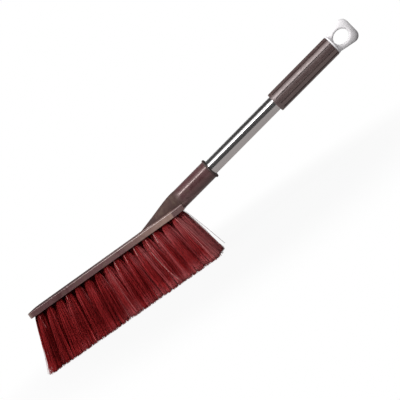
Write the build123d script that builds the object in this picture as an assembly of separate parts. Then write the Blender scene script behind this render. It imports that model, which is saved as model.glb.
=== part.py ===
from build123d import *

import math
import os

# A long-handled hand brush. While it is modelled, x runs along the block towards the handle with 0 at
# the block's handle end, y runs across the block, and z runs up from the bristle tips, which lie on 0.
# The finished pieces are then moved together so that the origin is the middle of the footprint.
# Lengths are in millimetres and angles in degrees.

# Block: the thin plate that carries the bristles
block_length = 269.0
block_width = 50.0
block_thickness = 8.4
block_edge_round = 1.2
underside_edge_round = 0.8
far_corner_radius = 11.0
handle_end_taper_length = 16.2
handle_end_shoulder = 0.5

# Low spine that runs along the top of the block up to the wedge
spine_start_distance = 200.0
spine_start_width = 10.0
spine_start_sink = 0.15
spine_width = 17.0
spine_rise = 1.7

# Bristles and their holes
bristle_length = 79.7
row_count = 5
long_row_tufts = 16
ring_strands = 5
row_edge_margin = 7.2
far_end_margin = 7.5
handle_end_margin = 10.2
tuft_hole_diameter = 5.0
tuft_hole_depth = 6.4
backing_thickness = 1.6
backing_rim = 1.4
strand_root_side = 0.9
strand_tip_side = 1.5
strand_bite = 0.6
strand_clearance = 0.4
far_end_lean = 16.4
handle_end_lean = 7.0
side_lean = 7.0
lean_power = 1.4
turn_between_tufts = 137.5

# Flat wire staples that anchor the tufts
staple_bite = 0.3
staple_thickness = 0.5
staple_height = 1.6
fold_thickness = 1.0

# Handle line, neck and socket
handle_angle = 9.5
neck_underside_lift = 0.5
neck_length = 61.1
neck_wall = 3.0
wedge_length = 74.0
socket_floor_distance = 4.1
flange_thickness = 2.6
flange_overhang = 1.5
flange_edge_round = 0.7

# Wedge between block and neck, by stations from its nose to the block's handle end
wedge_station_shares = (0.0, 0.25, 0.5, 0.73, 1.0)
wedge_crown_shares = (0.01, 0.279, 0.557, 0.813, 1.0)
wedge_width_shares = (0.35, 0.62, 0.83, 0.965, 1.0)
wedge_centre_shares = (0.1, 0.3, 0.5, 0.75, 1.0)

# Steel tube and what is inside it
tube_diameter = 22.0
tube_wall = 0.5
tube_visible_length = 124.2
plug_flange_thickness = 1.5
foot_plug_length = 18.0
foot_plug_wall = 1.8
bush_length = 24.0

# Grip
grip_length = 106.4
grip_wall = 3.6
grip_end_wall = 2.5
grip_mouth_round = 0.8
grip_top_round = 0.5
groove_count = 11
groove_width = 2.2
groove_depth = 1.2
groove_start = 5.3
groove_first_angle = 258.0

# Hanging cap
eye_length = 23.0
eye_width = 18.6
eye_base_wall = 4.6
eye_top_wall = 8.4
cap_waist_width = 27.0
cap_shoulder_width = 37.2
cap_thickness = 10.0
cap_foot_thickness = 2.6
cap_foot_inset = 0.3
cap_foot_round = 0.9
cap_corner_radius = 9.5
cap_outer_round = 3.8
cap_eye_round = 3.2
stem_diameter = 9.0
stem_hole_gap = 1.0
barb_overhang = 0.9
barb_length = 5.0
barb_tip_inset = 0.7
barb_slot_width = 2.0
barb_slot_length = 20.0

# Clearances
press_gap = 0.02
running_gap = 0.05
backing_gap = 0.05
swivel_end_gap = 0.3
barb_end_gap = 0.25
overrun = 2.0

# Places that follow from the sizes above
underside = bristle_length
block_top = underside + block_thickness
arch_foot = underside + block_thickness / 2
tube_radius = tube_diameter / 2
neck_radius = tube_radius + neck_wall
grip_radius = tube_radius + grip_wall
handle_end_width = 2 * (neck_radius + handle_end_shoulder)
slope = math.radians(handle_angle)
axis_height = underside + neck_underside_lift + neck_radius / math.cos(slope)
handle_plane = Plane(
    origin=(0, 0, axis_height),
    x_dir=(math.sin(slope), 0, -math.cos(slope)),
    z_dir=(math.cos(slope), 0, math.sin(slope)),
)
grip_start = neck_length + tube_visible_length
grip_end = grip_start + grip_length
tube_start = socket_floor_distance + plug_flange_thickness
tube_end = grip_end - grip_end_wall - plug_flange_thickness
row_spacing = (block_width - 2 * row_edge_margin) / (row_count - 1)
tuft_pitch = (block_length - far_end_margin - handle_end_margin) / (long_row_tufts - 1)
first_tuft = far_end_margin - block_length
last_tuft = -handle_end_margin
hole_radius = tuft_hole_diameter / 2
tip_row_spacing = row_spacing + bristle_length * math.tan(math.radians(side_lean)) * 2 / (row_count - 1)
staple_top = underside + tuft_hole_depth - fold_thickness


def upright_cylinder(radius, low, high):
    """A cylinder on the z axis from height low to height high."""
    return Pos(0, 0, low) * Cylinder(radius, high - low, align=(Align.CENTER, Align.CENTER, Align.MIN))


def box_between(low, high):
    """A box from its lowest to its highest corner."""
    size = [b - a for a, b in zip(low, high)]
    return Pos(*low) * Box(*size, align=(Align.MIN, Align.MIN, Align.MIN))


def on_handle(shape):
    """Moves a shape from its own upright axis onto the handle's line."""
    return handle_plane.location * shape


def block_plan():
    """Plan of the block: round corners at the far end, tapered corners at the handle end."""
    half, end_half = block_width / 2, handle_end_width / 2
    points = [
        (-block_length, -half),
        (-handle_end_taper_length, -half),
        (0, -end_half),
        (0, end_half),
        (-handle_end_taper_length, half),
        (-block_length, half),
    ]
    plan = Polygon(*points, align=None)
    return fillet(plan.vertices().group_by(Axis.X)[0], far_corner_radius)


def block_plate():
    """The bare plate with its edges rounded."""
    plate = Pos(0, 0, underside) * extrude(block_plan(), block_thickness)
    plate = fillet(plate.faces().sort_by(Axis.Z)[0].edges(), underside_edge_round)
    return fillet(plate.faces().sort_by(Axis.Z)[-1].edges(), block_edge_round)


def backing_field(gap):
    """The recessed area of the underside, where the tufts stand."""
    plan = offset(block_plan(), -(backing_rim + gap), kind=Kind.INTERSECTION)
    return Pos(0, 0, underside) * extrude(plan, backing_thickness)


def arch(x, half, centre, crown):
    """Upright section at x: half an ellipse up to the crown, on straight sides from inside the block."""
    upright = Plane(origin=(x, 0, 0), x_dir=(0, 1, 0), z_dir=(1, 0, 0))
    top = EllipticalCenterArc((0, centre), half, crown - centre, 0, arc_size=180)
    rest = Polyline((-half, centre), (-half, arch_foot), (half, arch_foot), (half, centre))
    return upright * make_face(Curve() + [top, rest])


def spine():
    """A low rounded ridge on the block's top that rises towards the wedge."""
    centre = arch_foot + spine_rise
    start = arch(-spine_start_distance, spine_start_width / 2, centre, block_top - spine_start_sink)
    end = arch(-wedge_length / 2, spine_width / 2, centre, block_top + spine_rise)
    return loft([start, end], ruled=True)


def wedge():
    """The rise from the block's top to the neck: upright arches with straight sides, lofted."""
    neck_crown = axis_height + neck_radius / math.cos(slope)
    stations = []
    for place, crown_share, width_share, centre_share in zip(
        wedge_station_shares, wedge_crown_shares, wedge_width_shares, wedge_centre_shares
    ):
        crown = block_top + crown_share * (neck_crown - block_top)
        centre = arch_foot + centre_share * (axis_height - arch_foot)
        x = -wedge_length * (1 - place)
        stations.append(arch(x, width_share * neck_radius, centre, crown))
    return loft(stations)


def neck():
    """The round socket neck beyond the block, with the thin flange at its mouth."""
    barrel = on_handle(upright_cylinder(neck_radius, -neck_radius, neck_length))
    behind = box_between(
        (-wedge_length, -block_width, 0), (0, block_width, axis_height + neck_length)
    )
    flange = upright_cylinder(neck_radius + flange_overhang, neck_length - flange_thickness, neck_length)
    flange = fillet(flange.edges().filter_by(GeomType.CIRCLE), flange_edge_round)
    return barrel - behind + on_handle(flange)


def tuft_roots():
    """Centre of each tuft at the underside, row by row: the outer rows are short, then long and short in turn."""
    rows = []
    for row in range(row_count):
        y = (row - (row_count - 1) / 2) * row_spacing
        shortening = (row + 1) % 2
        start = first_tuft + shortening * tuft_pitch / 2
        rows.append([(start + i * tuft_pitch, y) for i in range(long_row_tufts - shortening)])
    return rows


def tuft_tip(root):
    """Centre of a tuft at the tips: the tufts lean outwards, most of all at the block's ends."""
    x, y = root
    place = (x - first_tuft) / (last_tuft - first_tuft)
    far, near = math.tan(math.radians(far_end_lean)), math.tan(math.radians(handle_end_lean))
    lean = near - (near + far) * max(0, 1 - place) ** lean_power
    return x + lean * bristle_length, y * tip_row_spacing / row_spacing


def square(centre, side, turn, z):
    """A level square outline at height z."""
    points = []
    for k in range(4):
        angle = math.radians(turn + 90 * k + 45)
        reach = side / math.sqrt(2)
        points.append((centre[0] + reach * math.cos(angle), centre[1] + reach * math.sin(angle), z))
    return Wire.make_polygon(points)


def strand(root, tip, turn):
    """One tapering strand from inside the backing down to the floor."""
    top = square(root, strand_root_side, turn, underside + strand_bite)
    bottom = square(tip, strand_tip_side, turn, 0)
    return Solid.make_loft([bottom, top], ruled=True)


def ring_turn(root, number):
    """Turn of a tuft's ring: it changes from tuft to tuft and mirrors across the middle row."""
    if root[1] == 0:
        return number * 180 / ring_strands
    return math.copysign(number * turn_between_tufts, root[1])


def tuft_strands(root, number):
    """A middle strand and a ring round it that opens towards the tips."""
    tip = tuft_tip(root)
    root_ring = hole_radius - strand_root_side
    spacing_at_tips = min(tuft_pitch, math.hypot(tuft_pitch / 2, tip_row_spacing))
    tip_ring = spacing_at_tips / 2 - strand_tip_side / math.sqrt(2) - strand_clearance
    strands = [strand(root, tip, 0)]
    for k in range(ring_strands):
        turn = ring_turn(root, number) + 360 * k / ring_strands
        c, s = math.cos(math.radians(turn)), math.sin(math.radians(turn))
        start = (root[0] + root_ring * c, root[1] + root_ring * s)
        end = (tip[0] + tip_ring * c, tip[1] + tip_ring * s)
        strands.append(strand(start, end, turn))
    return strands


def staple(root, gap=0):
    """The flat wire across one tuft's fold, or with a gap the room it takes there."""
    half_length = hole_radius + staple_bite + gap
    half_width = staple_thickness / 2 + gap
    low = (root[0] - half_length, root[1] - half_width, staple_top - staple_height - gap)
    high = (root[0] + half_length, root[1] + half_width, staple_top + gap)
    return box_between(low, high)


def tuft_hole(root):
    """The blind hole of one tuft with the notches that its staple bites into the wall."""
    hole = upright_cylinder(hole_radius, underside + backing_thickness / 2, underside + tuft_hole_depth)
    return Pos(*root, 0) * hole + staple(root, press_gap)


def folded_root(root):
    """The folded end of a tuft, which fills its hole round the staple."""
    top = underside + tuft_hole_depth - press_gap
    fold = upright_cylinder(hole_radius - press_gap, underside + backing_thickness, top)
    return Pos(*root, 0) * fold - staple(root, press_gap)


def bristle_row(row, roots):
    """One row of tufts: a strip of the backing, the folded roots and all the strands in one fuse."""
    y = roots[0][1]
    half = row_spacing / 2 - backing_gap
    outer = block_width
    low_y = -outer if row == 0 else y - half
    high_y = outer if row == row_count - 1 else y + half
    band = box_between((-block_length, low_y, 0), (overrun, high_y, block_top))
    strip = backing_field(backing_gap) & band
    tufts = []
    for i, root in enumerate(roots):
        tufts += tuft_strands(root, abs(row - row_count // 2) * long_row_tufts + i)
        tufts.append(folded_root(root))
    return strip.fuse(*tufts)


def brush_block(rows):
    """Plate, spine, wedge and neck in one moulding, with the socket and the tuft holes."""
    body = block_plate() + spine() + wedge() + neck()
    socket = on_handle(
        upright_cylinder(tube_radius + press_gap, socket_floor_distance, neck_length + overrun)
    )
    holes = [tuft_hole(root) for roots in rows for root in roots]
    return body - backing_field(0) - socket - holes


def handle_tube():
    """The bare steel tube."""
    outer = upright_cylinder(tube_radius, tube_start, tube_end)
    inner = upright_cylinder(tube_radius - tube_wall, tube_start - overrun, tube_end + overrun)
    return on_handle(outer - inner)


def tube_foot_plug():
    """A hollow plug in the tube's lower end, with a flange between the tube and the socket floor."""
    radius = tube_radius - tube_wall - press_gap
    flange = upright_cylinder(tube_radius, socket_floor_distance, tube_start)
    body = upright_cylinder(radius, socket_floor_distance, tube_start + foot_plug_length)
    hollow = upright_cylinder(
        radius - foot_plug_wall, tube_start + foot_plug_wall, tube_start + foot_plug_length + overrun
    )
    return on_handle(flange + body - hollow)


def swivel_bush():
    """The plug in the tube's upper end whose bore carries the cap's stem."""
    flange = upright_cylinder(tube_radius, tube_end, tube_end + plug_flange_thickness)
    body = upright_cylinder(
        tube_radius - tube_wall - press_gap, tube_end - bush_length, tube_end + plug_flange_thickness
    )
    bore = upright_cylinder(
        stem_diameter / 2 + running_gap, tube_end - bush_length - overrun, grip_end
    )
    return on_handle(flange + body - bore)


def groove():
    """One long groove of the grip, rounded at its lower end and open at the top."""
    reach = grip_radius + overrun
    low = groove_start + groove_width / 2
    run = box_between(
        (grip_radius - groove_depth, -groove_width / 2, grip_start + low),
        (reach, groove_width / 2, grip_end + overrun),
    )
    end = Pos(grip_radius - groove_depth, 0, grip_start + low) * (
        Rot(0, 90, 0) * upright_cylinder(groove_width / 2, 0, groove_depth + overrun)
    )
    return run + end


def grip_sleeve():
    """The moulded grip: a sleeve over the tube with a closed top that only the stem passes."""
    sleeve = upright_cylinder(grip_radius, grip_start, grip_end)
    rims = sleeve.edges().filter_by(GeomType.CIRCLE).sort_by(Axis.Z)
    sleeve = chamfer(rims[0], grip_mouth_round)
    rims = sleeve.edges().filter_by(GeomType.CIRCLE).sort_by(Axis.Z)
    sleeve = fillet(rims[-1], grip_top_round)
    bore = upright_cylinder(tube_radius + press_gap, grip_start - overrun, grip_end - grip_end_wall)
    stem_hole = upright_cylinder(stem_diameter / 2 + stem_hole_gap, grip_start, grip_end + overrun)
    grooves = [
        Rot(0, 0, groove_first_angle + 360 * k / groove_count) * groove() for k in range(groove_count)
    ]
    return on_handle(sleeve - bore - stem_hole - grooves)


def cap_loop():
    """The flat loop with the eye, every edge well rounded."""
    length = eye_base_wall + eye_length + eye_top_wall
    low, low_half = cap_foot_thickness / 2, cap_waist_width / 2
    widening = (cap_shoulder_width / 2 - low_half) / (length - cap_corner_radius - low)
    top_half = low_half + widening * (length - low)
    outline = Polygon(
        (-low_half, low), (low_half, low), (top_half, length), (-top_half, length), align=None
    )
    outline = fillet(outline.vertices().group_by(Axis.Y)[-1], cap_corner_radius)
    front = Plane(origin=(0, cap_thickness / 2, 0), x_dir=(1, 0, 0), z_dir=(0, -1, 0))
    loop = extrude(front * outline, cap_thickness)
    rims = ShapeList(edge for flat in loop.faces().filter_by(Axis.Y) for edge in flat.edges())
    loop = fillet(rims.sort_by(Axis.Z)[2:], cap_outer_round)
    eye = Pos(0, eye_base_wall + eye_length / 2) * Ellipse(eye_width / 2, eye_length / 2)
    loop -= extrude(front * eye, cap_thickness)
    return fillet([edge for edge in loop.edges() if edge.is_closed], cap_eye_round)


def hang_cap():
    """The white cap: round foot, loop with the eye, and the snap stem that turns in the bush."""
    foot = upright_cylinder(grip_radius - cap_foot_inset, 0, cap_foot_thickness)
    foot = fillet(foot.edges().filter_by(GeomType.CIRCLE).sort_by(Axis.Z)[-1], cap_foot_round)
    stem_length = swivel_end_gap + grip_end_wall + plug_flange_thickness + bush_length + barb_end_gap
    stem = upright_cylinder(stem_diameter / 2, -stem_length - barb_length, cap_foot_thickness)
    barb = Pos(0, 0, -stem_length - barb_length / 2) * Cone(
        stem_diameter / 2 - barb_tip_inset, stem_diameter / 2 + barb_overhang, barb_length
    )
    tip = upright_cylinder(stem_diameter, -stem_length - barb_length - overrun, -stem_length)
    stem = stem - tip + barb
    slot = box_between(
        (-stem_diameter, -barb_slot_width / 2, -stem_length - barb_length - overrun),
        (stem_diameter, barb_slot_width / 2, -stem_length - barb_length + barb_slot_length),
    )
    cap = foot + cap_loop() + (stem - slot)
    return on_handle(Pos(0, 0, grip_end + swivel_end_gap) * cap)


def build():
    """All the pieces by name, in the frame that the sizes above use."""
    rows = tuft_roots()
    pieces = {"brush_block": brush_block(rows)}
    for row, roots in enumerate(rows):
        pieces[f"bristle_row_{row + 1}"] = bristle_row(row, roots)
    pieces["tuft_staples"] = Compound(children=[staple(root) for roots in rows for root in roots])
    pieces["handle_tube"] = handle_tube()
    pieces["tube_foot_plug"] = tube_foot_plug()
    pieces["grip_sleeve"] = grip_sleeve()
    pieces["swivel_bush"] = swivel_bush()
    pieces["hang_cap"] = hang_cap()
    return pieces


def centring(pieces):
    """The move that puts the origin under the middle of the whole brush, on the floor."""
    boxes = [piece.bounding_box() for piece in pieces.values()]
    mid_x = (min(b.min.X for b in boxes) + max(b.max.X for b in boxes)) / 2
    mid_y = (min(b.min.Y for b in boxes) + max(b.max.Y for b in boxes)) / 2
    return Pos(-mid_x, -mid_y, 0)


def main():
    os.makedirs("parts", exist_ok=True)
    pieces = build()
    move = centring(pieces)
    for name, piece in pieces.items():
        export_step(move * piece, f"parts/{name}.step")
    print("moved by", move.position)


if __name__ == "__main__":
    main()
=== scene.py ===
import math

import bmesh
import bpy
import numpy as np
from mathutils import Matrix, Vector
from mathutils.bvhtree import BVHTree

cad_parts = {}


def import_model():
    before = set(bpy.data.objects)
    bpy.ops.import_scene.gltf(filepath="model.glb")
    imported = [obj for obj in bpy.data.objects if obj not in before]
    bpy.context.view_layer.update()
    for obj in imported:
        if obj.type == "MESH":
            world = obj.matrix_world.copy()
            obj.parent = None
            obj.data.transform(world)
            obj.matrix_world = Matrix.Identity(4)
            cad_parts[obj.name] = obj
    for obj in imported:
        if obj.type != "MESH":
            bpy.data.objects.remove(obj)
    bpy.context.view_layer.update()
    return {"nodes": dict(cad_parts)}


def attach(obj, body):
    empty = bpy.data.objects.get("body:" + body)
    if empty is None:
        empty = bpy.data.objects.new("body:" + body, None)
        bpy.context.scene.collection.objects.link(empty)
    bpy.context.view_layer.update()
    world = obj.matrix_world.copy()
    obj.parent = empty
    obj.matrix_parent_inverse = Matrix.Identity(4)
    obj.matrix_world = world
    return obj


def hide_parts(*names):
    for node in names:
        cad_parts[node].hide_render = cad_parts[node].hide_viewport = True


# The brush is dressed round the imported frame. Metres, +X from the bristles to the hanging cap, +Y across
# the brush, +Z up.

# Viewpoint of the photograph
CAMERA_AZIMUTH = 8.8
CAMERA_ELEVATION = 3.3
CAMERA_ROLL = 36.0
CAMERA_DISTANCE = 1.3
CAMERA_TARGET = (0.00582, 0.0, 0.0772)
CAMERA_REACH = 20
SENSOR = 36.0
LENS = 85.09

# Studio round the handle line. Its angles are 0 towards the camera and 90 towards the picture's upper left.
HANDLE_SLOPE = 9.5
STUDIO_CENTRE = (0.1, 0.0, 0.12)
DARK_LEVEL = 0.06
CARD_DISTANCE = 2.2
CARD_LENGTH = 5.0
CARD_STEPS = 12
CARDS = (
    ("dark_room", -4, 36),
    ("dark_ceiling", 69.5, 138),
    ("dark_back", 146, 188),
)
FLAG_HALF_WIDTH = 3.0
FLAG_NEAR = -3.0
FLAG_EDGE = -0.25
FLAG_HEIGHT = 0.0005
KEY_ANGLE = 43.5
KEY_SHIFT = -0.45
KEY_DISTANCE = 1.5
KEY_SIZE = (1.9, 0.22)
KEY_POWER = 17

# World light: its brightest side, as parts towards the camera, towards the upper left and along the handle,
# and its levels from the dark side to the bright one
WORLD_SIDE = (0.5, 0.6, -0.8)
WORLD_LEVELS = (
    (0.0, (0.05, 0.05, 0.052)),
    (0.35, (0.40, 0.40, 0.41)),
    (1.0, (1.60, 1.62, 1.64)),
)

# Floor: its fades are two distances from the middle and the levels at them
FLOOR_SIZE = 6.0
FLOOR_LEVEL = -0.0002
FLOOR_GREY = 0.25
FLOOR_WARMTH = (1.0, 0.90, 0.87)
FLOOR_GLOW_FADE = (0.2, 0.5, 0.93, 1.0)
FLOOR_MIRROR_FADE = (0.4, 1.6, 0.30, 1.0)

# Clouded colours of the mouldings, each at its stop of the ramp
CLOUD_STOPS = (0.3, 0.45, 0.56, 0.68)
PURPLE = ((0.066, 0.026, 0.026), (0.096, 0.041, 0.042), (0.112, 0.052, 0.055), (0.108, 0.062, 0.050))
PALE_PURPLE = ((0.150, 0.072, 0.072), (0.190, 0.098, 0.098), (0.220, 0.120, 0.122), (0.210, 0.130, 0.115))
# Brown of the wedge, darkened past the neck's as painted shade
EARTHY_AND_SHADE = ((0.030, 0.012, 0.010), (0.046, 0.020, 0.017), (0.060, 0.028, 0.022), (0.078, 0.050, 0.034))
SATIN = ((0.044, 0.018, 0.017), (0.066, 0.031, 0.029), (0.078, 0.041, 0.037), (0.074, 0.047, 0.037))
OLIVE_STOPS = (0.3, 0.5, 0.7)
# Olive of the moulding, lightened in part as painted sheen
OLIVE_AND_SHEEN = ((0.26, 0.165, 0.135), (0.32, 0.21, 0.175), (0.36, 0.25, 0.21))
# Painted highlight on the block's rounded upper edge
EDGE_HIGHLIGHT = (0.44, 0.35, 0.33)
RIM = (0.085, 0.050, 0.047)
# Painted shadow in the flange's crease and round its lip
RIM_SHADOW = (0.012, 0.004, 0.004)
# Painted shade on the loop's far lower corner
CAP_CORNER_SHADE = (0.40, 0.385, 0.39)
PURPLE_CLOUDS = 46.0
EARTHY_CLOUDS = 60.0

# Places between which the block's colours and its painted highlight and shade set in or end: along X, in
# height, and by how far a face looks up
BELOW_TOP = (0.0888, 0.0884)
PALER_RUN = (-0.235, -0.13)
PALER_GROWTH = 0.42
HANDLE_END = (-0.0345, -0.0325)
HANDLE_END_GROWTH = 0.45
FLOW_LINE = (-0.117, -0.114)
BEFORE_END = HANDLE_END[::-1]
OLIVE_RUN = (-0.115, -0.048)
OLIVE_SHARES = (0.12, 1.0)
OFF_TOP = (0.97, 0.9)
OLIVE_ON_TOP = 0.25
# Painted highlight on the upper edge: how far the face looks up, its height and its run along X
HIGHLIGHT_TILT = ((0.1, 0.3), (0.98, 0.88))
HIGHLIGHT_HEIGHT = ((0.0860, 0.0866), (0.08835, 0.0881))
HIGHLIGHT_RUN = (-0.27, -0.05)
WEDGE_FOOT = (0.0883, 0.089)
WEDGE_RUN = (-0.008, -0.02)

# The flange at the neck's mouth, with painted shadow at its crease and lip, along the handle, and where the
# neck is along X
RIM_START = (0.0574, 0.0579)
CREASE_END = (0.0588, 0.0582)
LIP_START = (0.0592, 0.0598)
NECK_RUN = (0.02, 0.03)

# The cap's painted corner shade: its direction in X and Z, its start past the eye's middle and its width
CORNER_X, CORNER_Z = 0.76, -0.65
CORNER_START = 0.002
CORNER_WIDTH = 0.024

# Shades of the filaments, from deep red to pale; the pinkish and pale upper stops are painted sheen and
# highlight
BRISTLE_STOPS = (
    (0.0, (0.040, 0.001, 0.002)),
    (0.3, (0.170, 0.003, 0.004)),
    (0.5, (0.360, 0.018, 0.020)),
    (0.7, (0.500, 0.085, 0.092)),
    (0.85, (0.640, 0.190, 0.190)),
    (1.0, (0.820, 0.620, 0.560)),
)

# Tufts, as they stand in the frame
BLOCK_UNDERSIDE = 0.0797
TUFT_TOP = BLOCK_UNDERSIDE + 0.0004
BACKING_CUT = BLOCK_UNDERSIDE - 0.00002
FIRST_TUFT = -0.277876
ROW_PITCH = 0.0089
TUFT_PITCH = 0.016753
ROWS = 5
LONG_ROW_TUFTS = 16
FAR_LEAN = 16.4
NEAR_LEAN = 7.0
LEAN_POWER = 1.4
TIP_ROW_PITCH = 0.013793
SIDE_LIMIT = 0.0335
SIDE_HOLD = 0.7

# Shape of a tuft: its radii, and where the tufts at both ends are narrower or fan out, by place in the row
ROOT_RADIUS = 0.0024
COLLAR_RADIUS = 0.0040
COLLAR_LENGTH = 0.05
TIP_RADIUS = 0.0090
TIP_POWER = 0.7
ALONG_WIDENING = 0.22
FAR_END_PLACE = 0.06
FAR_END_SQUEEZE = 0.35
FAR_END_EASE = 0.3
NEAR_END_PLACE = 0.93
NEAR_END_SQUEEZE = 0.4
FAN_PLACES = (0.9, 0.96)
END_FAN = 0.0035

# Filaments, and the locks that they gather in
SEED = 3
FILAMENTS = 200
LOCKS = 13
FILAMENT_RADIUS = 0.00023
STRAY_RADIUS = 0.00030
STATIONS = (0.0, 0.04, 0.09, 0.16, 0.26, 0.4, 0.56, 0.74, 0.93, 1.0)
SPREAD = 0.62
SPREAD_KEPT = 0.92
LOCK_AREA = (0.05, 0.9)
LOCK_PULL = 0.3
LOCK_LOOSENESS = 0.035
LOCK_GROWTH = 1.3
TUFT_JITTER = 0.0012
PARTING = 0.0010
BOW = 0.0008
WANDER = 0.0006
UNEVENNESS = 0.0009
LEAST_GAP = 0.0001
SHORT_SHARE = 0.05
SHORTEST = 0.005

# Shades: their mean along the row, painted lighter towards the handle where more light falls, their spread
# and their limits
BASE_SHADE = 0.325
PAINTED_LIGHT_GROWTH = 0.29
TUFT_SHADES = 0.035
LOCK_SHADES = 0.085
FILAMENT_SHADES = 0.035
DEEPEST = 0.02
LIGHTEST = 0.76
# Share of single filaments given a painted highlight, where they catch the light, and its limit
GLINT_SHARE = 0.004
GLINT_LIGHTEST = 0.9
# Painted highlight along the right side of the outer rows' last tufts: where it starts, its gain and its
# limit
RIDGE_HIGHLIGHT_PLACE = 0.96
RIDGE_HIGHLIGHT_GAIN = 0.26
RIDGE_HIGHLIGHT_LIGHTEST = 0.84

# Painted tones along a filament: the painted shadow at its root, the painted gleam under that, the fall
# towards the tip and the painted light that makes the tip paler, as light shines through it
OUTER_SHADOW = 0.20
OUTER_SHADOW_LENGTH = 0.07
INNER_SHADOW = 0.50
INNER_SHADOW_LENGTH = 0.1
INNER_TONE = 0.06
LAST_TUFT_PLACE = 0.99
LAST_TUFT_HIGHLIGHT = 0.30
GLEAM = 0.18
GLEAM_AT_FAR_END = 0.3
GLEAM_PLACE = 0.22
GLEAM_WIDTH = 0.13
FALL = 0.08
FALL_MIDDLE = 0.3
TIP_LIGHT_START = 0.82
TIP_LIGHT_TONE = 0.20
TIP_LIGHT_GROWTH = 0.26
TIP_LIGHT_LIFT = 0.03

# Crown of the cap's loop round the eye
EYE = (0.287498, 0.0, 0.145246)
CAP_HALF = 0.005
CAP_ROUND = 0.0038
CROWN_DEPTH = 0.0095
CROWN_EDGE = 0.16
CAP_CUT = 0.0012
CAP_CUTS = 6
CAP_CREASE = 40
WALL_STRETCH = 6.0
WALL_TILT = 0.9
LOOP_FOOT = -0.0145
LOOP_BLEND = 0.006

# Single strands that stray: row, tuft, start in root radii, end in metres, curve, lowest point, shade; the
# pale shades are painted highlights where the strands catch the light
STRAYS = (
    (0, 11, -1.0, 0.0140, 2.2, 0.005, 0.92),
    (0, 7, 0.2, 0.0010, 1.0, 0.001, 0.84),
    (0, 12, -1.1, -0.0010, 1.0, 0.064, 0.95),
    (0, 11, 0.4, -0.0030, 1.0, 0.064, 0.90),
    (0, 10, -1.1, -0.0035, 1.0, 0.066, 0.93),
    (0, 9, -1.1, -0.0040, 1.0, 0.066, 0.90),
    (0, 8, -1.2, -0.0010, 1.0, 0.065, 0.93),
    (0, 3, -1.2, -0.0070, 1.0, 0.062, 0.90),
    (0, 0, -0.4, -0.0030, 1.0, 0.058, 0.85),
    (3, 15, 1.0, 0.0205, 0.85, 0.006, 0.30),
    (4, 5, -1.0, 0.0080, 2.0, 0.004, 0.92),
    (4, 10, 1.0, -0.0060, 1.6, 0.003, 0.88),
)
STRAY_SIDE = 0.98


def linked(name, data):
    """A new object in the scene."""
    thing = bpy.data.objects.new(name, data)
    bpy.context.scene.collection.objects.link(thing)
    return thing


def handle_axis():
    """Direction from the brush head along the handle."""
    slope = math.radians(HANDLE_SLOPE)
    return Vector((math.cos(slope), 0, math.sin(slope)))


def camera_axes():
    """Right, up and look directions of the photograph's camera."""
    az, el, roll = (math.radians(a) for a in (CAMERA_AZIMUTH, CAMERA_ELEVATION, CAMERA_ROLL))
    look = Vector((-math.sin(az) * math.cos(el), math.cos(az) * math.cos(el), -math.sin(el)))
    level = look.cross(Vector((0, 0, 1))).normalized()
    upright = level.cross(look)
    right = math.cos(roll) * level - math.sin(roll) * upright
    up = math.sin(roll) * level + math.cos(roll) * upright
    return right, up, look


def add_camera():
    right, up, look = camera_axes()
    data = bpy.data.cameras.new("camera")
    data.sensor_width = SENSOR
    data.lens = LENS
    data.clip_end = CAMERA_REACH
    camera = linked("camera", data)
    place = Vector(CAMERA_TARGET) - look * CAMERA_DISTANCE
    turn = Matrix((right, up, -look)).transposed()
    camera.matrix_world = Matrix.Translation(place) @ turn.to_4x4()
    bpy.context.scene.camera = camera


class Nodes:
    """A short way to build a node tree."""

    def __init__(self, tree):
        self.tree = tree
        tree.nodes.clear()

    def add(self, kind, **settings):
        node = self.tree.nodes.new(kind)
        for name, value in settings.items():
            setattr(node, name, value)
        return node

    def link(self, source, target):
        self.tree.links.new(source, target)

    def set(self, node, **values):
        for name, value in values.items():
            node.inputs[name.replace("_", " ")].default_value = value

    def ramp(self, source, stops, interpolation="LINEAR"):
        node = self.add("ShaderNodeValToRGB")
        node.color_ramp.interpolation = interpolation
        while len(node.color_ramp.elements) < len(stops):
            node.color_ramp.elements.new(0.5)
        for element, (place, colour) in zip(node.color_ramp.elements, stops):
            element.position = place
            element.color = (*colour, 1.0)
        self.link(source, node.inputs["Fac"])
        return node.outputs["Color"]

    def noise(self, vector, scale, detail=2.0, roughness=0.5, distortion=0.0):
        node = self.add("ShaderNodeTexNoise")
        self.set(node, Scale=scale, Detail=detail, Roughness=roughness, Distortion=distortion)
        self.link(vector, node.inputs["Vector"])
        return node.outputs["Fac"]


def bare_material(name):
    """A material with an output node only."""
    material = bpy.data.materials.new(name)
    material.use_nodes = True
    tree = Nodes(material.node_tree)
    return material, tree, tree.add("ShaderNodeOutputMaterial")


def new_material(name):
    """A material with a Principled shader on its output."""
    material, tree, output = bare_material(name)
    shader = tree.add("ShaderNodeBsdfPrincipled")
    tree.link(shader.outputs["BSDF"], output.inputs["Surface"])
    return material, tree, shader


def mapped(tree, vector, **settings):
    node = tree.add("ShaderNodeMapping")
    tree.set(node, **settings)
    tree.link(vector, node.inputs["Vector"])
    return node.outputs["Vector"]


def stretched(tree, scale=(1.0, 1.0, 1.0)):
    """Object coordinates stretched by scale along each axis."""
    return mapped(tree, tree.add("ShaderNodeTexCoord").outputs["Object"], Scale=scale)


def along_handle(tree, scale=(1.0, 1.0, 1.0)):
    """Object coordinates turned so that X runs along the handle, then stretched."""
    turn = (0.0, math.radians(HANDLE_SLOPE), 0.0)
    turned = mapped(tree, tree.add("ShaderNodeTexCoord").outputs["Object"], Rotation=turn)
    return mapped(tree, turned, Scale=scale)


def xyz(tree, vector):
    parts = tree.add("ShaderNodeSeparateXYZ")
    tree.link(vector, parts.inputs[0])
    return parts.outputs["X"], parts.outputs["Y"], parts.outputs["Z"]


def facing_up(tree):
    """How far the surface looks up: 1 where it is level."""
    return xyz(tree, tree.add("ShaderNodeTexCoord").outputs["Normal"])[2]


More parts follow.
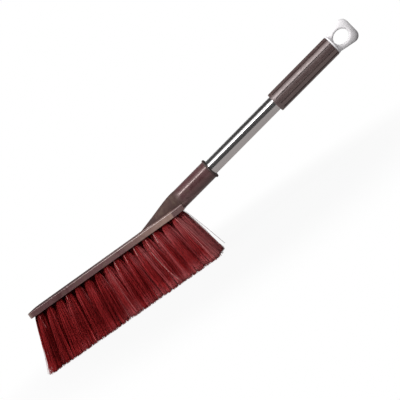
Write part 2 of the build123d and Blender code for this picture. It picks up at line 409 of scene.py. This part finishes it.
def between(tree, value, low, high, first=0.0, last=1.0, kind="SMOOTHSTEP"):
    """The level first at low and last at high, with a smooth step or a straight run between them."""
    node = tree.add("ShaderNodeMapRange", interpolation_type=kind)
    tree.set(node, From_Min=low, From_Max=high, To_Min=first, To_Max=last)
    tree.link(value, node.inputs["Value"])
    return node.outputs["Result"]


def combine(tree, operation, first, second):
    """One math node over two values, of which the second may be a plain number."""
    node = tree.add("ShaderNodeMath", operation=operation)
    tree.link(first, node.inputs[0])
    if isinstance(second, float):
        node.inputs[1].default_value = second
    else:
        tree.link(second, node.inputs[1])
    return node.outputs[0]


def product(tree, *factors):
    total = factors[0]
    for factor in factors[1:]:
        total = combine(tree, "MULTIPLY", total, factor)
    return total


def band(tree, value, rise, fall):
    """1 in a band of values, with soft limits."""
    return product(tree, between(tree, value, *rise), between(tree, value, *fall))


def blended(tree, share, first, second):
    """The first colour where share is 0, the second where it is 1."""
    mix = tree.add("ShaderNodeMix", data_type="RGBA")
    tree.link(share, mix.inputs["Factor"])
    for side, colour in (("A", first), ("B", second)):
        if isinstance(colour, tuple):
            mix.inputs[side].default_value = (*colour, 1.0)
        else:
            tree.link(colour, mix.inputs[side])
    return mix.outputs["Result"]


def grey(level):
    return (level,) * 3


def clouded(tree, vector, scale, colours, stops=CLOUD_STOPS):
    """Cloudy colour of a recycled moulding."""
    clouds = tree.noise(vector, scale, detail=4.0, roughness=0.6, distortion=1.4)
    return tree.ramp(clouds, tuple(zip(stops, colours)))


def wavering(tree, source, low, high):
    """A level, or a colour, that wavers with the source between low and high."""
    if isinstance(low, float):
        low, high = grey(low), grey(high)
    return tree.ramp(source, ((0.3, low), (0.7, high)))


def add_bump(tree, shader, height, strength, distance):
    bump = tree.add("ShaderNodeBump")
    tree.set(bump, Strength=strength, Distance=distance)
    tree.link(height, bump.inputs["Height"])
    tree.link(bump.outputs["Normal"], shader.inputs["Normal"])


def paler_share(tree, x, z):
    """How far the plate's purple is paler than the neck's: more towards the handle, most at its end."""
    slow = combine(tree, "MULTIPLY", between(tree, x, *PALER_RUN), PALER_GROWTH)
    last = combine(tree, "MULTIPLY", between(tree, x, *HANDLE_END), HANDLE_END_GROWTH)
    return product(tree, combine(tree, "ADD", slow, last), between(tree, z, *BELOW_TOP))


def olive_and_sheen_share(tree, x, z):
    """Where the plate runs olive, partly the moulding's colour and partly painted sheen: from a flow line to
    the handle end's taper, fainter on its top face.
    """
    grow = between(tree, x, *OLIVE_RUN, *OLIVE_SHARES, "LINEAR")
    plate = band(tree, x, FLOW_LINE, BEFORE_END)
    aside = combine(tree, "MULTIPLY", between(tree, facing_up(tree), *OFF_TOP), 1 - OLIVE_ON_TOP)
    aside = combine(tree, "ADD", aside, OLIVE_ON_TOP)
    return product(tree, plate, grow, between(tree, z, *BELOW_TOP), aside)


def edge_highlight_share(tree, x, z):
    """Where a highlight is painted along the plate's rounded upper edge: more and more towards the handle.
    """
    rounded = band(tree, facing_up(tree), *HIGHLIGHT_TILT)
    edge = band(tree, z, *HIGHLIGHT_HEIGHT)
    return product(tree, rounded, edge, between(tree, x, *HIGHLIGHT_RUN))


def wedge_share(tree, x, z):
    """Where the wedge rises from the plate to the neck, and takes a painted shade."""
    return product(tree, between(tree, z, *WEDGE_FOOT), between(tree, x, *WEDGE_RUN))


def rim_shares(tree, x):
    """Where the flange is, and the painted shadow in the crease under it and round the lip of its mouth."""
    reach = xyz(tree, along_handle(tree))[0]
    rim = product(tree, between(tree, reach, *RIM_START), between(tree, x, *NECK_RUN))
    crease = product(tree, rim, between(tree, reach, *CREASE_END))
    lip = product(tree, rim, between(tree, reach, *LIP_START))
    return rim, combine(tree, "MAXIMUM", crease, lip)


def brown_plastic():
    """Glossy recycled plastic of the block: purple brown, with an olive run towards the handle that is
    partly painted sheen, and painted highlight, shade and shadow on its edge, wedge and flange.
    """
    material, tree, shader = new_material("brown_plastic")
    vector = stretched(tree)
    x, _, z = xyz(tree, vector)
    wedge = wedge_share(tree, x, z)
    rim, rim_shadow = rim_shares(tree, x)
    purple = clouded(tree, vector, PURPLE_CLOUDS, PURPLE)
    pale_purple = clouded(tree, vector, PURPLE_CLOUDS, PALE_PURPLE)
    colour = blended(tree, paler_share(tree, x, z), purple, pale_purple)
    # Olive run: partly the moulding's colour, partly painted sheen
    olive = clouded(tree, vector, EARTHY_CLOUDS, OLIVE_AND_SHEEN, OLIVE_STOPS)
    colour = blended(tree, olive_and_sheen_share(tree, x, z), colour, olive)
    # Painted highlight along the plate's rounded upper edge
    colour = blended(tree, edge_highlight_share(tree, x, z), colour, EDGE_HIGHLIGHT)
    # The wedge: its brown darkened as painted shade, and rough
    colour = blended(tree, wedge, colour, clouded(tree, vector, EARTHY_CLOUDS, EARTHY_AND_SHADE))
    colour = blended(tree, rim, colour, RIM)
    # Painted shadow in the flange's crease and round its lip
    colour = blended(tree, rim_shadow, colour, RIM_SHADOW)
    tree.link(colour, shader.inputs["Base Color"])
    smudge = tree.noise(vector, 120.0, detail=3.0)
    rough = wavering(tree, smudge, 0.20, 0.25)
    rough = blended(tree, wedge, rough, grey(0.85))
    rough = blended(tree, rim, rough, grey(0.7))
    tree.link(rough, shader.inputs["Roughness"])
    tree.set(shader, Specular_IOR_Level=0.85, Specular_Tint=(1.0, 0.84, 0.81, 1.0))
    orange_peel = tree.noise(vector, 300.0, detail=2.0)
    add_bump(tree, shader, orange_peel, strength=0.05, distance=0.0003)
    return material


def grip_plastic():
    """The grip's moulding: the same brown with a satin skin and streaks along the handle."""
    material, tree, shader = new_material("brown_plastic_satin")
    colour = clouded(tree, along_handle(tree, (14.0, 60.0, 60.0)), 1.0, SATIN)
    tree.link(colour, shader.inputs["Base Color"])
    smudge = tree.noise(stretched(tree), 140.0, detail=3.0)
    tree.link(wavering(tree, smudge, 0.38, 0.47), shader.inputs["Roughness"])
    tree.set(shader, IOR=1.82, Specular_IOR_Level=1.0, Specular_Tint=(1.0, 0.89, 0.88, 1.0))
    return material


def polished_steel():
    """Bright tube steel with faint drawing lines along it."""
    material, tree, shader = new_material("polished_steel")
    tree.set(shader, Metallic=1.0)
    smudge = tree.noise(along_handle(tree, (8.0, 160.0, 160.0)), 1.0, detail=3.0)
    tree.link(wavering(tree, smudge, (0.62, 0.605, 0.60), (0.70, 0.685, 0.68)), shader.inputs["Base Color"])
    lines = tree.noise(along_handle(tree, (10.0, 900.0, 900.0)), 1.0, detail=2.0)
    tree.link(wavering(tree, lines, 0.17, 0.21), shader.inputs["Roughness"])
    add_bump(tree, shader, lines, strength=0.01, distance=0.0001)
    return material


def white_plastic():
    """Smooth white moulding with a faint unevenness, and a painted shade that greys the loop's far lower
    corner.
    """
    material, tree, shader = new_material("white_plastic")
    vector = stretched(tree)
    clouds = tree.noise(vector, 70.0, detail=3.0)
    colour = wavering(tree, clouds, (0.88, 0.85, 0.86), (0.94, 0.91, 0.92))
    x, _, z = xyz(tree, vector)
    x = combine(tree, "MULTIPLY", x, CORNER_X)
    z = combine(tree, "MULTIPLY", z, CORNER_Z)
    start = CORNER_X * EYE[0] + CORNER_Z * EYE[2] + CORNER_START
    # Painted shade growing towards the loop's far lower corner
    corner = between(tree, combine(tree, "ADD", x, z), start, start + CORNER_WIDTH)
    tree.link(blended(tree, corner, colour, CAP_CORNER_SHADE), shader.inputs["Base Color"])
    tree.set(shader, Roughness=0.5, Specular_IOR_Level=0.3)
    return material


def plain_moulding():
    """Natural plastic of the plugs inside the tube."""
    material, tree, shader = new_material("plain_moulding")
    clouds = tree.noise(stretched(tree), 90.0, detail=3.0)
    tree.link(wavering(tree, clouds, (0.5, 0.49, 0.46), (0.58, 0.57, 0.53)), shader.inputs["Base Color"])
    tree.set(shader, Roughness=0.55)
    return material


def staple_wire():
    """Drawn wire of the staples."""
    material, tree, shader = new_material("staple_wire")
    lines = tree.noise(stretched(tree, (60.0, 900.0, 900.0)), 1.0)
    tree.link(wavering(tree, lines, 0.42, 0.55), shader.inputs["Base Color"])
    tree.set(shader, Metallic=1.0, Roughness=0.4)
    return material


def bristle_material():
    """Fine red filament: the shade stored at each point, which carries painted light and shade, runs from
    deep red to pale, with painted sheen in the pinkish upper stops.
    """
    material, tree, shader = new_material("red_bristle")
    shade = tree.add("ShaderNodeAttribute", attribute_name="shade").outputs["Fac"]
    tree.link(tree.ramp(shade, BRISTLE_STOPS), shader.inputs["Base Color"])
    rough = tree.ramp(shade, ((0.2, grey(0.75)), (0.8, grey(0.4))))
    tree.link(rough, shader.inputs["Roughness"])
    tree.set(shader, Specular_IOR_Level=0.12)
    return material


def tuft_places():
    """Root, tip centre and place along the row of each tuft, row by row: short and long rows in turn."""
    far, near = math.tan(math.radians(FAR_LEAN)), math.tan(math.radians(NEAR_LEAN))
    span = (LONG_ROW_TUFTS - 1) * TUFT_PITCH
    rows = []
    for row in range(ROWS):
        side = row - (ROWS - 1) / 2
        shortening = (row + 1) % 2
        start = FIRST_TUFT + shortening * TUFT_PITCH / 2
        tufts = []
        for i in range(LONG_ROW_TUFTS - shortening):
            x = start + i * TUFT_PITCH
            place = (x - FIRST_TUFT) / span
            lean = near - (near + far) * max(0.0, 1 - place) ** LEAN_POWER
            root = np.array((x, side * ROW_PITCH))
            tip = np.array((x + lean * BLOCK_UNDERSIDE, side * TIP_ROW_PITCH))
            tufts.append((root, tip, place))
        rows.append(tufts)
    return rows


def held_in(paths):
    """Draws strands that spread too far to the sides most of the way back."""
    sideways = np.abs(paths[..., 1])
    over = np.maximum(sideways - SIDE_LIMIT, 0)
    paths[..., 1] = np.sign(paths[..., 1]) * (sideways - SIDE_HOLD * over)
    return paths


def tuft_radius(t):
    """Radius of a tuft at the shares t of its length."""
    collar = 1 - np.exp(-t / COLLAR_LENGTH)
    widening = (TIP_RADIUS - COLLAR_RADIUS) * t ** TIP_POWER
    return ROOT_RADIUS + (COLLAR_RADIUS - ROOT_RADIUS) * collar + widening


def grown(value, low, high):
    """0 at low, 1 at high and a straight run between them."""
    return np.clip((value - low) / (high - low), 0, 1)


def round_spots(reach, angle):
    return np.stack((reach * np.cos(angle), reach * np.sin(angle)), 1)


def gathered(rng):
    """Each filament's spot at the root and drawn into its lock, in tuft radii, and the lock's number."""
    angle = rng.uniform(0, 2 * math.pi, FILAMENTS)
    reach = SPREAD * np.sqrt(-2 * np.log(1 - SPREAD_KEPT * rng.uniform(0, 1, FILAMENTS)))
    spot = round_spots(reach, angle)
    lock_angle = rng.uniform(0, 2 * math.pi, LOCKS)
    lock_spot = round_spots(np.sqrt(rng.uniform(*LOCK_AREA, LOCKS)), lock_angle)
    lock = np.linalg.norm(spot[:, None] - lock_spot[None], axis=2).argmin(1)
    pulled = spot + LOCK_PULL * (lock_spot[lock] - spot)
    return spot, pulled + rng.normal(0, LOCK_LOOSENESS, (FILAMENTS, 2)), lock


def fanned(spot, pulled, place, t):
    """How far each filament is from its tuft's middle line at each station, along the row and across."""
    blend = np.clip(t * LOCK_GROWTH, 0, 1)[None, :, None]
    offset = (spot[:, None] * (1 - blend) + pulled[:, None] * blend) * tuft_radius(t)[None, :, None]
    offset[..., 0] *= 1 + ALONG_WIDENING * t[None]
    far_end = FAR_END_SQUEEZE * grown(place, FAR_END_PLACE, 0.0) * (offset[..., 0] < 0)
    near_end = NEAR_END_SQUEEZE * grown(place, NEAR_END_PLACE, 1.0) * (offset[..., 0] > 0)
    offset[..., 0] *= 1 - far_end * (1 - FAR_END_EASE * t[None] ** 2) - near_end
    return offset


def filament_paths(rng, root, tip, place, outer):
    """Middle lines of one tuft's filaments, as an array (filament, station, xyz), and their shades."""
    t = np.array(STATIONS)
    spot, pulled, lock = gathered(rng)
    offset = fanned(spot, pulled, place, t)
    tip = tip + rng.normal(0, TUFT_JITTER, 2)
    if outer:
        tip[0] += END_FAN * grown(place, *FAN_PLACES)
    centre = root[None, None] + t[None, :, None] * (tip - root)[None, None]
    parting = rng.normal(0, PARTING, (LOCKS, 1, 2))[lock] * (t ** 1.5)[None, :, None]
    bow = rng.normal(0, BOW, (FILAMENTS, 1, 2)) * np.sin(math.pi * t)[None, :, None]
    wander = rng.normal(0, WANDER, (FILAMENTS, 1, 2)) * (t ** 2)[None, :, None]
    flat = centre + offset + parting + bow + wander
    low = np.abs(rng.normal(0, UNEVENNESS, FILAMENTS)) + LEAST_GAP
    short = rng.uniform(0, 1, FILAMENTS) < SHORT_SHARE
    low = low + short * rng.uniform(0, SHORTEST, FILAMENTS)
    z = TUFT_TOP - t[None] * (TUFT_TOP - low[:, None])
    paths = held_in(np.concatenate((flat, z[:, :, None]), 2))
    shade = strand_shades(rng, t, lock, place, outer)
    # Painted highlight along the right side of the outer rows' last tufts
    if outer and place > RIDGE_HIGHLIGHT_PLACE:
        shade = np.clip(shade + RIDGE_HIGHLIGHT_GAIN * np.clip(spot[:, :1], 0, 1), 0, RIDGE_HIGHLIGHT_LIGHTEST)
    return paths, shade


def outer_tones(t, place):
    """Tones along an outer tuft, whose gleam grows towards the handle."""
    gleam = GLEAM * (GLEAM_AT_FAR_END + (1 - GLEAM_AT_FAR_END) * place)
    gleam = gleam * np.exp(-(((t - GLEAM_PLACE) / GLEAM_WIDTH) ** 2))
    fall = FALL * (t - FALL_MIDDLE)
    return gleam - fall - OUTER_SHADOW * np.exp(-t / OUTER_SHADOW_LENGTH)


def inner_tones(t, place):
    """Tones along an inner tuft: a painted shadow at the root, and a painted highlight where the long rows'
    last tufts stand free.
    """
    last = LAST_TUFT_HIGHLIGHT * (place > LAST_TUFT_PLACE)
    return INNER_TONE + last - INNER_SHADOW * np.exp(-t / INNER_SHADOW_LENGTH)


def strand_shades(rng, t, lock, place, outer):
    """Shade of each filament at each station: painted deeper at the far end and painted lighter at the tips,
    where more light falls.
    """
    # Painted light: the base shade grows towards the handle, where the bristles are lit more
    base = BASE_SHADE + PAINTED_LIGHT_GROWTH * place + rng.normal(0, TUFT_SHADES)
    base = base + rng.normal(0, LOCK_SHADES, LOCKS)[lock] + rng.normal(0, FILAMENT_SHADES, FILAMENTS)
    # Painted light at the tips, where light shines through them
    tip_light = grown(t, TIP_LIGHT_START, 1.0)
    tones = outer_tones(t, place) if outer else inner_tones(t, place)
    tones = tones + (TIP_LIGHT_TONE + TIP_LIGHT_GROWTH * place) * tip_light
    # Single filaments with a painted highlight, where they catch the light
    pale = rng.uniform(0, 1, FILAMENTS) < GLINT_SHARE
    shade = np.where(pale, LIGHTEST, base)[:, None] + tones[None]
    lightest = np.where(pale, GLINT_LIGHTEST, LIGHTEST)[:, None] + TIP_LIGHT_LIFT * tip_light[None]
    return np.clip(shade, DEEPEST, lightest)


def stray_path(rows, row, tuft, start, end, curve, low):
    """Middle line of one strand that strays from its tuft, on the tuft's outer side."""
    t = np.array(STATIONS)
    root, tip, _ = rows[row][tuft]
    side = -1.0 if row < (ROWS - 1) / 2 else 1.0
    z = TUFT_TOP - t * (TUFT_TOP - low)
    drop = (TUFT_TOP - z) / TUFT_TOP
    x = root[0] + start * ROOT_RADIUS + end * drop ** curve
    y = root[1] + drop * (tip[1] - root[1]) + side * tuft_radius(drop) * STRAY_SIDE
    return held_in(np.stack((x, y, z), 1))


def unit(vectors):
    return vectors / np.linalg.norm(vectors, axis=-1, keepdims=True)


def prism_points(paths, radius, sides):
    """Corners of thin prisms round the paths, as an array (path, station, corner, xyz)."""
    along = unit(np.gradient(paths, axis=1))
    across = unit(np.cross(along, np.array((0.0, 1.0, 0.0))))
    other = np.cross(along, across)
    turn = (np.arange(sides) * 2 * math.pi / sides)[:, None]
    ring = np.cos(turn) * across[:, :, None] + np.sin(turn) * other[:, :, None]
    return paths[:, :, None] + radius * ring


def tube_mesh(name, paths, shades, radius, sides=3):
    """One mesh of thin prisms along the paths, closed at their lower ends, with a shade at every point."""
    points = prism_points(paths, radius, sides)
    index = np.arange(points.size // 3).reshape(points.shape[:3])
    rolled = np.roll(index, -1, axis=2)
    quads = np.stack((index[:, :-1], rolled[:, :-1], rolled[:, 1:], index[:, 1:]), 3).reshape(-1, 4)
    ends = index[:, -1].reshape(-1, sides)
    corners = np.concatenate((quads.reshape(-1), ends.reshape(-1)))
    starts = np.concatenate((np.arange(len(quads)) * 4, len(quads) * 4 + np.arange(len(ends)) * sides))
    smooth = np.arange(len(starts)) < len(quads)
    mesh = bpy.data.meshes.new(name)
    mesh.vertices.add(points.size // 3)
    mesh.vertices.foreach_set("co", points.astype(np.float32).reshape(-1))
    mesh.loops.add(len(corners))
    mesh.loops.foreach_set("vertex_index", corners.astype(np.int32))
    mesh.polygons.add(len(starts))
    mesh.polygons.foreach_set("loop_start", starts.astype(np.int32))
    mesh.update(calc_edges=True)
    mesh.polygons.foreach_set("use_smooth", smooth)
    attribute = mesh.attributes.new("shade", "FLOAT", "POINT")
    attribute.data.foreach_set("value", np.repeat(shades.reshape(-1), sides).astype(np.float32))
    mesh.validate()
    return mesh


def add_tufts(material, rows):
    """The dense tufts of each row, in place of the row's thick strands."""
    rng = np.random.default_rng(SEED)
    for row, tufts in enumerate(rows):
        paths, shades = [], []
        for root, tip, place in tufts:
            path, shade = filament_paths(rng, root, tip, place, row in (0, ROWS - 1))
            paths.append(path)
            shades.append(shade)
        for stray_row, tuft, start, end, curve, low, shade in STRAYS:
            if stray_row == row:
                paths.append(stray_path(rows, row, tuft, start, end, curve, low)[None])
                shades.append(np.full((1, len(STATIONS)), shade))
        paths = np.concatenate(paths)
        radius = np.full((len(paths), 1, 1, 1), FILAMENT_RADIUS)
        radius[len(tufts) * FILAMENTS:] = STRAY_RADIUS
        mesh = tube_mesh(f"bristle_tufts_{row + 1}", paths, np.concatenate(shades), radius)
        mesh.materials.append(material)
        piece = linked(mesh.name, mesh)
        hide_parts(f"bristle_row_{row + 1}")
        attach(piece, "brush")


def add_backings(nodes, material):
    """The slices of the block that the rows stand in: each row's own node, cut off just under the block."""
    for number in range(1, ROWS + 1):
        mesh = nodes[f"bristle_row_{number}"].data.copy()
        mesh.name = f"tuft_backing_{number}"
        work = bmesh.new()
        work.from_mesh(mesh)
        everything = work.verts[:] + work.edges[:] + work.faces[:]
        level, down = (0, 0, BACKING_CUT), (0, 0, -1)
        bmesh.ops.bisect_plane(work, geom=everything, plane_co=level, plane_no=down, clear_outer=True)
        bmesh.ops.holes_fill(work, edges=[e for e in work.edges if e.is_boundary], sides=12)
        work.to_mesh(mesh)
        work.free()
        mesh.materials.clear()
        mesh.materials.append(material)
        piece = linked(mesh.name, mesh)
        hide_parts(f"bristle_row_{number}")
        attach(piece, "brush")


def loop_reach():
    """A function for how far along the handle a point of the cap is from the eye's middle."""
    eye, along = Vector(EYE), handle_axis()
    return lambda point: (point - eye).dot(along)


def finely_cut(mesh):
    """The cap's mesh cut into short triangles on its loop."""
    reach = loop_reach()
    work = bmesh.new()
    work.from_mesh(mesh)
    bmesh.ops.triangulate(work, faces=work.faces[:])
    for _ in range(CAP_CUTS):
        coarse = [
            edge
            for edge in work.edges
            if edge.calc_length() > CAP_CUT and max(reach(v.co) for v in edge.verts) > LOOP_FOOT
        ]
        bmesh.ops.subdivide_edges(work, edges=coarse, cuts=1)
        bmesh.ops.triangulate(work, faces=[face for face in work.faces if len(face.verts) > 3])
    return work


def outer_wall(work):
    """A search tree of the loop's outer wall, drawn out across the brush to keep its flat sides far off."""
    points = [Vector((v.co.x, v.co.y * WALL_STRETCH, v.co.z)) for v in work.verts]
    work.verts.index_update()
    faces = []
    for face in work.faces:
        outwards = face.calc_center_median() - Vector(EYE)
        outwards.y = 0
        if abs(face.normal.y) < WALL_TILT and face.normal.dot(outwards) > 0:
            faces.append([v.index for v in face.verts])
    return BVHTree.FromPolygons(points, faces)


def quarter_round(depth, radius):
    """Height, as a share of the radius, of a quarter round at a depth inside its edge."""
    return math.sqrt(max(0.0, 1 - (1 - min(depth / radius, 1)) ** 2))


def crown(depth):
    """How much of the loop's thickness stays at a depth inside its outer wall."""
    plain = (CAP_HALF - CAP_ROUND + CAP_ROUND * quarter_round(depth, CAP_ROUND)) / CAP_HALF
    soft = CROWN_EDGE + (1 - CROWN_EDGE) * quarter_round(depth, CROWN_DEPTH)
    return min(1.0, soft / plain)


def add_cap(nodes, material):
    """The hanging cap with the soft, crowned loop that the plain solid leaves flat."""
    reach = loop_reach()
    work = finely_cut(nodes["hang_cap"].data)
    wall = outer_wall(work)
    for vertex in work.verts:
        share = min(1.0, max(0.0, (reach(vertex.co) - LOOP_FOOT) / LOOP_BLEND))
        if share > 0:
            depth = wall.find_nearest((vertex.co.x, 0, vertex.co.z))[3]
            share = share * share * (3 - 2 * share)
            vertex.co.y *= 1 + share * (crown(depth) - 1)
    mesh = bpy.data.meshes.new("crowned_cap")
    work.to_mesh(mesh)
    work.free()
    mesh.materials.append(material)
    mesh.polygons.foreach_set("use_smooth", np.ones(len(mesh.polygons), dtype=bool))
    mesh.set_sharp_from_angle(angle=math.radians(CAP_CREASE))
    piece = linked(mesh.name, mesh)
    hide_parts("hang_cap")
    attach(piece, "cap")


def dress_nodes(nodes, finishes):
    for name, material in finishes.items():
        mesh = nodes[name].data
        mesh.materials.clear()
        mesh.materials.append(material)


def studio_axes():
    """Along the handle, towards the camera and towards the picture's upper left, square to each other."""
    along = handle_axis()
    _, _, look = camera_axes()
    front = (-look + along * look.dot(along)).normalized()
    upper = front.cross(along).normalized()
    return along, front, upper


def studio_place(angle, distance):
    """A place round the handle line at a studio angle."""
    _, front, upper = studio_axes()
    turn = math.radians(angle)
    return Vector(STUDIO_CENTRE) + distance * (math.cos(turn) * front + math.sin(turn) * upper)


def add_key():
    """A soft strip lamp that faces the handle line, with its long side along it."""
    along = handle_axis()
    place = studio_place(KEY_ANGLE, KEY_DISTANCE) + KEY_SHIFT * along
    back = (place - Vector(STUDIO_CENTRE)).normalized()
    side = back.cross(along).normalized()
    data = bpy.data.lights.new("key", "AREA")
    data.shape = "RECTANGLE"
    data.size, data.size_y = KEY_SIZE
    data.energy = KEY_POWER
    turn = Matrix((side.cross(back) * -1, side, back)).transposed()
    linked("key", data).matrix_world = Matrix.Translation(place) @ turn.to_4x4()


def add_screen(name, points, faces):
    """A dark flag of the studio that only mirrors see."""
    mesh = bpy.data.meshes.new(name)
    mesh.from_pydata([tuple(p) for p in points], [], faces)
    material, tree, output = bare_material(name)
    glow = tree.add("ShaderNodeEmission")
    tree.set(glow, Color=(*grey(DARK_LEVEL), 1), Strength=1.0)
    tree.link(glow.outputs["Emission"], output.inputs["Surface"])
    mesh.materials.append(material)
    screen = linked(name, mesh)
    screen.visible_camera = False
    screen.visible_diffuse = False
    screen.visible_shadow = False
    screen.visible_transmission = False


def add_card(name, start, end):
    """A curved flag round the handle line from one studio angle to the other."""
    half = handle_axis() * CARD_LENGTH / 2
    points = []
    for i in range(CARD_STEPS + 1):
        middle = studio_place(start + (end - start) * i / CARD_STEPS, CARD_DISTANCE)
        points += [middle - half, middle + half]
    add_screen(name, points, [(2 * i, 2 * i + 1, 2 * i + 3, 2 * i + 2) for i in range(CARD_STEPS)])


def add_floor_flag():
    """A flat flag on the floor, on the camera's side of the brush."""
    corners = ((-1, FLAG_NEAR), (1, FLAG_NEAR), (1, FLAG_EDGE), (-1, FLAG_EDGE))
    points = [(side * FLAG_HALF_WIDTH, y, FLAG_HEIGHT) for side, y in corners]
    add_screen("dark_table", points, [(0, 1, 2, 3)])


def any_of(tree, path, *names):
    """1 where the ray is any of the named kinds."""
    total = path.outputs[names[0]]
    for name in names[1:]:
        total = combine(tree, "MAXIMUM", total, path.outputs[name])
    return total


def mixed(tree, share, first, second, output):
    """Shows the first shader where share is 0 and the second where it is 1."""
    mix = tree.add("ShaderNodeMixShader")
    tree.link(share, mix.inputs["Fac"])
    tree.link(first, mix.inputs[1])
    tree.link(second, mix.inputs[2])
    tree.link(mix.outputs["Shader"], output.inputs["Surface"])


def add_world():
    """Soft light, mostly from the picture's upper left. Camera and mirrors see the white backdrop."""
    world = bpy.data.worlds.new("studio")
    world.use_nodes = True
    bpy.context.scene.world = world
    tree = Nodes(world.node_tree)
    output = tree.add("ShaderNodeOutputWorld")
    path = tree.add("ShaderNodeLightPath")
    seen = tree.add("ShaderNodeBackground")
    tree.set(seen, Color=(1, 1, 1, 1), Strength=1.0)
    along, front, upper = studio_axes()
    bright_side = (WORLD_SIDE[0] * front + WORLD_SIDE[1] * upper + WORLD_SIDE[2] * along).normalized()
    facing = tree.add("ShaderNodeVectorMath", operation="DOT_PRODUCT")
    facing.inputs[1].default_value = bright_side
    tree.link(tree.add("ShaderNodeTexCoord").outputs["Generated"], facing.inputs[0])
    light = tree.add("ShaderNodeBackground")
    tree.link(tree.ramp(facing.outputs["Value"], WORLD_LEVELS, "EASE"), light.inputs["Color"])
    share = any_of(tree, path, "Is Camera Ray", "Is Glossy Ray", "Is Transmission Ray")
    mixed(tree, share, light.outputs["Background"], seen.outputs["Background"], output)


def floor_material():
    """Pale floor: white for the camera and, far off, for mirrors, with the brush's soft shadow on it."""
    material, tree, output = bare_material("floor")
    shader = tree.add("ShaderNodeBsdfPrincipled")
    tree.set(shader, Base_Color=(*grey(FLOOR_GREY), 1), Roughness=0.7)
    path = tree.add("ShaderNodeLightPath")
    length = tree.add("ShaderNodeVectorMath", operation="LENGTH")
    tree.link(tree.add("ShaderNodeTexCoord").outputs["Object"], length.inputs[0])
    away = length.outputs["Value"]
    seen = product(tree, between(tree, away, *FLOOR_GLOW_FADE), path.outputs["Is Camera Ray"])
    mirrored = any_of(tree, path, "Is Glossy Ray", "Is Transmission Ray")
    mirrored = product(tree, mirrored, between(tree, away, *FLOOR_MIRROR_FADE))
    glow = tree.add("ShaderNodeEmission")
    tree.set(glow, Strength=1.0)
    white = blended(tree, path.outputs["Is Camera Ray"], FLOOR_WARMTH, (1.0, 1.0, 1.0))
    tree.link(white, glow.inputs["Color"])
    share = combine(tree, "MAXIMUM", seen, mirrored)
    mixed(tree, share, shader.outputs["BSDF"], glow.outputs["Emission"], output)
    return material


def add_floor():
    """A wide pale floor just under the bristle tips."""
    mesh = bpy.data.meshes.new("floor")
    corners = ((-1, -1), (1, -1), (1, 1), (-1, 1))
    mesh.from_pydata([(FLOOR_SIZE * x, FLOOR_SIZE * y, 0) for x, y in corners], [], [(0, 1, 2, 3)])
    mesh.materials.append(floor_material())
    floor = linked("floor", mesh)
    floor.location = (0, 0, FLOOR_LEVEL)


def main():
    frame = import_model()
    nodes = frame["nodes"]
    bpy.context.scene.view_settings.view_transform = "Standard"
    add_camera()
    add_world()
    add_floor()
    brown = brown_plastic()
    add_backings(nodes, brown)
    add_tufts(bristle_material(), tuft_places())
    add_cap(nodes, white_plastic())
    plain = plain_moulding()
    finishes = {
        "brush_block": brown,
        "grip_sleeve": grip_plastic(),
        "handle_tube": polished_steel(),
        "tube_foot_plug": plain,
        "swivel_bush": plain,
        "tuft_staples": staple_wire(),
    }
    dress_nodes(nodes, finishes)
    for card in CARDS:
        add_card(*card)
    add_floor_flag()
    add_key()


main()
